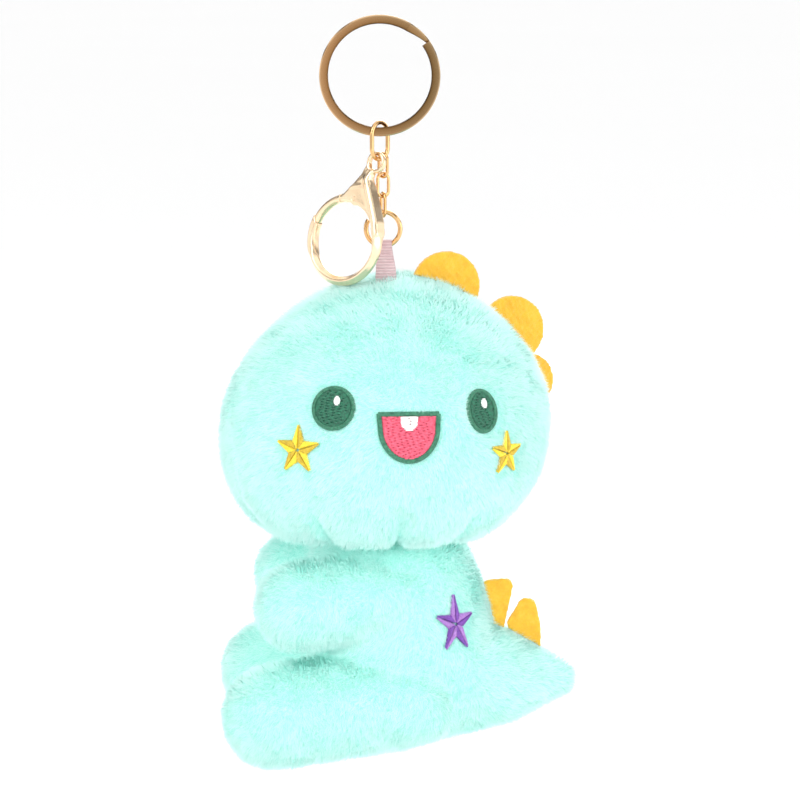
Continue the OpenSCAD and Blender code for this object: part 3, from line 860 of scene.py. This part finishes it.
def clear_of(boards):
    """Pile length factor: none under the embroidery, short beside it and in the gathers."""

    def keep(roots, up):
        factor = 1 - 0.45 * np.clip(gather(roots), 0, 1)
        for board, outline in boards:
            flat, height = board.flat(roots)
            near = (np.abs(height) < 14 * MM) & (up @ np.array(board.normal) > 0)
            odd, gap = inside(flat, outline)
            gap = np.where(odd, -gap, gap)
            grown = smooth_step(gap, -0.15 * MM, 1.6 * MM)
            beside = np.where(gap < -0.05 * MM, 0, 0.35 + 0.65 * grown)
            factor = np.where(near, np.minimum(factor, beside), factor)
        return factor

    return keep


def head_comb(roots):
    """Down and outwards from the crown, and away from the middle of the face."""
    away = roots - np.array(mouth.centre)
    return unit(away) * 0.5 + np.array([-0.25, 0, -0.8])


def body_comb(roots):
    """Down the body, along the limbs towards their tips, and along the tail."""
    flow = np.tile(np.array([-0.35, 0.0, -0.6]), (len(roots), 1))
    tail_x = middle("back_spike_1").x
    tail = smooth_step(roots[:, 0], tail_x - 10 * MM, tail_x)[:, None]
    flow = flow * (1 - tail) + np.array([0.9, 0.0, -0.25]) * tail
    return flow


skins = [head_tree, body_tree]
for name, me, boards, comb, seed in (
    ("head_pile", head.data, motifs, head_comb, 11),
    ("body_pile", body.data, hip_motifs, body_comb, 23),
):
    # painted shade: the pile is darkened where the skins close in and in the neck's gathers
    painted_crease_shade = np.clip(shelter(me, skins, CREASE_REACH) - 0.15, 0, 1)
    shade = painted_crease_shade + 0.5 * np.clip(gather(coordinates(me)), 0, 1)
    mid_y = float(coordinates(me)[:, 1].mean())
    pile(name + "_front", me, lambda p: p[:, 1] <= mid_y, comb, clear_of(boards), shade, seed)
    pile(name + "_back", me, lambda p: p[:, 1] > mid_y, comb, clear_of(boards), shade, seed + 1)


# ---------------------------------------------------------------- felt spikes
def felt_spike(name):
    me = rolled(name, 0.3 * MM, 4)
    co = coordinates(me)
    fuzz = 0.07 * MM * waves(co, 1.6 * MM, 5) + 0.05 * MM * waves(co, 0.7 * MM, 6)
    move_points(me, co + vertex_normals(me) * fuzz[:, None])
    return add_object(name + "_felt", me, [felt], "plush", [name])


for spike in ("head_spike_1", "head_spike_2", "head_spike_3", "back_spike_1", "back_spike_2"):
    felt_spike(spike)


# ---------------------------------------------------------------- ribbon
def ribbon():
    """Strap folded over the jump ring, with fine ribs and two selvedges."""
    lo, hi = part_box("ribbon_loop")
    mid_x, mid_y = (lo.x + hi.x) / 2, (lo.y + hi.y) / 2
    bend = (hi.y - lo.y) / 2 - 0.25 * MM
    top = hi.z - 0.25 * MM - bend
    foot = lo.z - 1.2 * MM
    straight, turns = np.linspace(0, 1, 60), np.linspace(0, math.pi, 24)[1:-1]
    path = [(mid_y - bend, foot + (top - foot) * t) for t in straight]
    path += [(mid_y - bend * math.cos(a), top + bend * math.sin(a)) for a in turns]
    path += [(mid_y + bend, top - (top - foot) * t) for t in straight]
    path = np.array(path)
    tangent = unit(np.gradient(path, axis=0))
    outward = np.stack([-tangent[:, 1], tangent[:, 0]], 1)
    far = np.concatenate([[0], np.cumsum(np.linalg.norm(np.diff(path, axis=0), axis=1))])
    columns = 17
    points, corners = [], []
    for side, depth in ((1, 0.22 * MM), (-1, -0.22 * MM)):
        for i, (y, z) in enumerate(path):
            spread = smooth_step(np.array([top - z]), -1 * MM, 8 * MM)[0]
            half = (1.75 + 0.85 * spread) * MM
            shift = 0.3 * MM * spread
            for k in range(columns):
                w = 2 * k / (columns - 1) - 1
                rib = 0.05 * MM * math.sin(2 * math.pi * far[i] / (0.42 * MM)) * (abs(w) < 0.9)
                edge = 0.10 * MM if abs(w) > 0.9 else 0.0
                d = depth + side * (rib + edge)
                points.append((mid_x + shift + half * w, y + outward[i, 0] * d, z + outward[i, 1] * d))
    n = len(path)
    back = n * columns
    for i in range(n - 1):
        for k in range(columns - 1):
            p = i * columns + k
            corners += [p, p + 1, p + columns + 1, p + columns]
            corners += [back + p, back + p + columns, back + p + columns + 1, back + p + 1]
        for k in (0, columns - 1):
            p = i * columns + k
            q = [p, p + columns, back + p + columns, back + p]
            corners += q if k == 0 else q[::-1]
    for i in (0, n - 1):
        for k in range(columns - 1):
            p = i * columns + k
            q = [p, back + p, back + p + 1, p + 1]
            corners += q if i == 0 else q[::-1]
    me = new_mesh("ribbon", points, corners, np.arange(0, len(corners), 4))
    me.shade_smooth()
    return add_object("ribbon_strap", me, [ribbon_look()], "plush", ["ribbon_loop"])


ribbon()

# ---------------------------------------------------------------- clasp casting
def clasp_frame():
    """The clasp's axes (right, up, and across, away from the face), its eye and the middle of its hook."""
    joints = {joint["name"]: joint for joint in frame["record"]["behaviour"]["joints"]}
    holes = {hole["name"]: hole for hole in frame["record"]["physics"]["openings"]}
    across = -Vector(joints["gate_turn"]["axis"])
    rise = Vector((1, 0, 0)).cross(across).normalized()
    axes = np.array([across.cross(rise), rise, across])
    return axes, np.array(joints["clasp_swing"]["pos_m"]), np.mean(holes["clasp_loop"]["box_m"], axis=0)


def rounded_bar(points, weight):
    """Turns the hook's square bar into a round one, where weight is 1."""
    axes, _, hook = clasp_frame()
    u, v, w = ((points - hook) @ axes.T / MM).T
    radius, turn = np.hypot(u, v), np.arctan2(v, u)
    off = np.clip(radius - HOOK_RADIUS, -BAR_HALF_WIDTH, BAR_HALF_WIDTH)
    amount = weight * smooth_step(radius, 8.8, 9.2)
    radius = radius - amount * off * 0.30 * np.clip(w / BAR_HALF_DEPTH, -1, 1) ** 2
    w = w * (1 - amount * 0.36 * (off / BAR_HALF_WIDTH) ** 2)
    return hook + np.stack([radius * np.cos(turn), radius * np.sin(turn), w], 1) * MM @ axes


def even_out(me, weight, rounds):
    """Draws each vertex towards its neighbours, where weight is 1."""
    co, count = coordinates(me), len(me.vertices)
    ends = np.empty(len(me.edges) * 2, np.int32)
    me.edges.foreach_get("vertices", ends)
    a, b = ends.reshape(-1, 2).T
    amount = np.bincount(a, minlength=count) + np.bincount(b, minlength=count)
    for _ in range(rounds):
        total = [np.bincount(a, co[b, i], count) + np.bincount(b, co[a, i], count) for i in range(3)]
        co = co + 0.5 * weight[:, None] * (np.stack(total, 1) / amount[:, None] - co)
    move_points(me, co)


def clasp_casting():
    """The clasp with rolled edges. On its face side a spine runs in an S from the eye into the hook."""
    me = rolled("clasp_body", 0.15 * MM, 30, 0.1 * MM)
    axes, eye, hook = clasp_frame()
    co = coordinates(me)
    u, v, w = ((co - eye) @ axes.T / MM).T
    down = -v - EYE_DROP
    left = (hook - eye) @ axes[0] / MM
    co = rounded_bar(co, smooth_step(down - 2.5 * (u < left), 17.5, 20.5))
    edge = np.interp(down, [2, 4, 7, 11, 15, 18.5], [-0.6, -1.3, -0.7, 0.4, 1.35, 1.6])
    spine = smooth_step(u - edge, -2.3, -1.5) * (1 - 0.45 * smooth_step(u - edge, -0.9, 0.0))
    length = smooth_step(down, 1.5, 5) * (1 - smooth_step(down, 19, 26))
    dish = np.exp(-(((u + 3.3) / 1.5) ** 2) - ((down - 9.5) / 4.5) ** 2)
    # the neck is thinner than the shoulder: its face side is filled flush
    clear = smooth_step(np.hypot(u, v + EYE_DROP), 2.2, 3.2)
    neck = 0.45 * (1 - smooth_step(down, 4.2, 6.2)) * smooth_step(down, 1.6, 4.4) * clear
    lift = smooth_step(-w, 0.0, 0.9) * (0.8 * spine * length + neck - 0.4 * dish) * MM
    move_points(me, co - np.outer(lift, axes[2]))
    even_out(me, clear * smooth_step(down, 1.6, 2.6) * (1 - smooth_step(down, 4.6, 6.6)), 50)
    return me


gate = rolled("clasp_gate", 0.12 * MM, 20, 0.06 * MM)
away = np.linalg.norm(coordinates(gate) - np.array(middle("clasp_pin")), axis=1)
move_points(gate, rounded_bar(coordinates(gate), smooth_step(away, 4 * MM, 6 * MM)))
add_object("clasp_body_cast", clasp_casting(), [cast], "clasp", ["clasp_body"])
add_object("clasp_gate_cast", gate, [cast], "gate", ["clasp_gate"])

# ---------------------------------------------------------------- metal parts keep their CAD shapes
for node, look in {
    "split_ring": bronze,
    "top_link": gold,
    "chain_link_1": gold,
    "chain_link_2": gold,
    "chain_link_3": gold,
    "jump_ring": gold,
    "clasp_pin": cast,
    "clasp_spring": steel,
}.items():
    ob = frame["nodes"][node]
    ob.data.materials.clear()
    ob.data.materials.append(look)


# ---------------------------------------------------------------- studio
def studio():
    lo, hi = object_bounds()
    centre = (lo + hi) / 2
    floor_z = lo.z - 0.03
    floor = Look("pale_floor", roughness=0.8, specular_ior_level=0.1)
    floor.colour(floor.ramp(floor.noise(3, 1), [(0.3, (0.985, 0.985, 0.985)), (0.7, (0.99, 0.99, 0.99))]))
    rings, spokes, reach = 6, 48, 14.0
    points = [(0, 0, floor_z)]
    for r in range(1, rings + 1):
        radius = reach * (r / rings) ** 3
        points += [
            (radius * math.cos(a), radius * math.sin(a), floor_z)
            for a in np.linspace(0, 2 * math.pi, spokes, endpoint=False)
        ]
    faces = [(0, 1 + i, 1 + (i + 1) % spokes) for i in range(spokes)]
    for r in range(rings - 1):
        for i in range(spokes):
            here, following = 1 + r * spokes + i, 1 + r * spokes + (i + 1) % spokes
            faces.append((here, here + spokes, following + spokes, following))
    me = bpy.data.meshes.new("floor")
    me.from_pydata(points, [], faces)
    me.materials.append(floor.material)
    ob = bpy.data.objects.new("floor", me)
    bpy.context.scene.collection.objects.link(ob)
    ob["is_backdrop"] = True

    world = bpy.data.worlds.new("studio")
    bpy.context.scene.world = world
    world.use_nodes = True
    tree = world.node_tree
    back = tree.nodes["Background"]
    way = tree.nodes.new("ShaderNodeTexCoord")
    split = tree.nodes.new("ShaderNodeSeparateXYZ")
    tree.links.new(way.outputs["Generated"], split.inputs["Vector"])
    aside = tree.nodes.new("ShaderNodeMath")
    aside.operation = "ABSOLUTE"
    tree.links.new(split.outputs["X"], aside.inputs[0])
    # bright walls and ceiling with darker bands between them, which the metal mirrors
    both = tree.nodes.new("ShaderNodeMix")
    both.data_type = "RGBA"
    both.blend_type = "MULTIPLY"
    both.inputs[0].default_value = 1.0
    over = [(0.0, 1.0), (0.2, 1.0), (0.28, 0.2), (0.42, 0.15), (0.52, 1.0), (0.9, 1.0)]
    across = [(0.0, 1.0), (0.45, 1.0), (0.55, 0.2), (0.7, 0.15), (0.8, 1.0), (1.0, 1.0)]
    for value, socket, stops in ((split.outputs["Z"], 6, over), (aside.outputs[0], 7, across)):
        ramp = tree.nodes.new("ShaderNodeValToRGB")
        set_stops(ramp.color_ramp, [(at, (grey, grey, grey)) for at, grey in stops])
        tree.links.new(value, ramp.inputs["Fac"])
        tree.links.new(ramp.outputs["Color"], both.inputs[socket])
    tree.links.new(both.outputs[2], back.inputs["Color"])
    back.inputs["Strength"].default_value = 1.45

    for name, where, size, watts in (
        ("key", (-0.45, -0.75, 0.6), 0.9, 5.0),
        ("fill", (0.75, -0.5, 0.1), 0.9, 3.5),
        ("back", (0.3, 0.8, 0.5), 0.9, 6.0),
    ):
        light = bpy.data.lights.new(name, "AREA")
        light.shape = "DISK"
        light.size = size
        light.energy = watts
        lamp = bpy.data.objects.new(name, light)
        lamp.location = centre + Vector(where)
        lamp.rotation_euler = (-Vector(where)).to_track_quat("-Z", "Y").to_euler()
        bpy.context.scene.collection.objects.link(lamp)


def camera():
    """Long lens from the face side, a little above level."""
    distance, wide = 1.0, 0.2
    ring = middle("split_ring")
    aim = Vector((ring.x + 0.005, 0, ring.z - 0.081))
    lift = math.radians(8)
    data = bpy.data.cameras.new("camera")
    data.sensor_width = 36
    data.lens = 36 * distance / wide
    ob = bpy.data.objects.new("camera", data)
    ob.location = aim + Vector((0, -math.cos(lift), math.sin(lift))) * distance
    ob.rotation_euler = (aim - ob.location).to_track_quat("-Z", "Y").to_euler()
    bpy.context.scene.collection.objects.link(ob)
    bpy.context.scene.camera = ob


camera()
studio()
bpy.context.scene.view_settings.view_transform = "Standard"
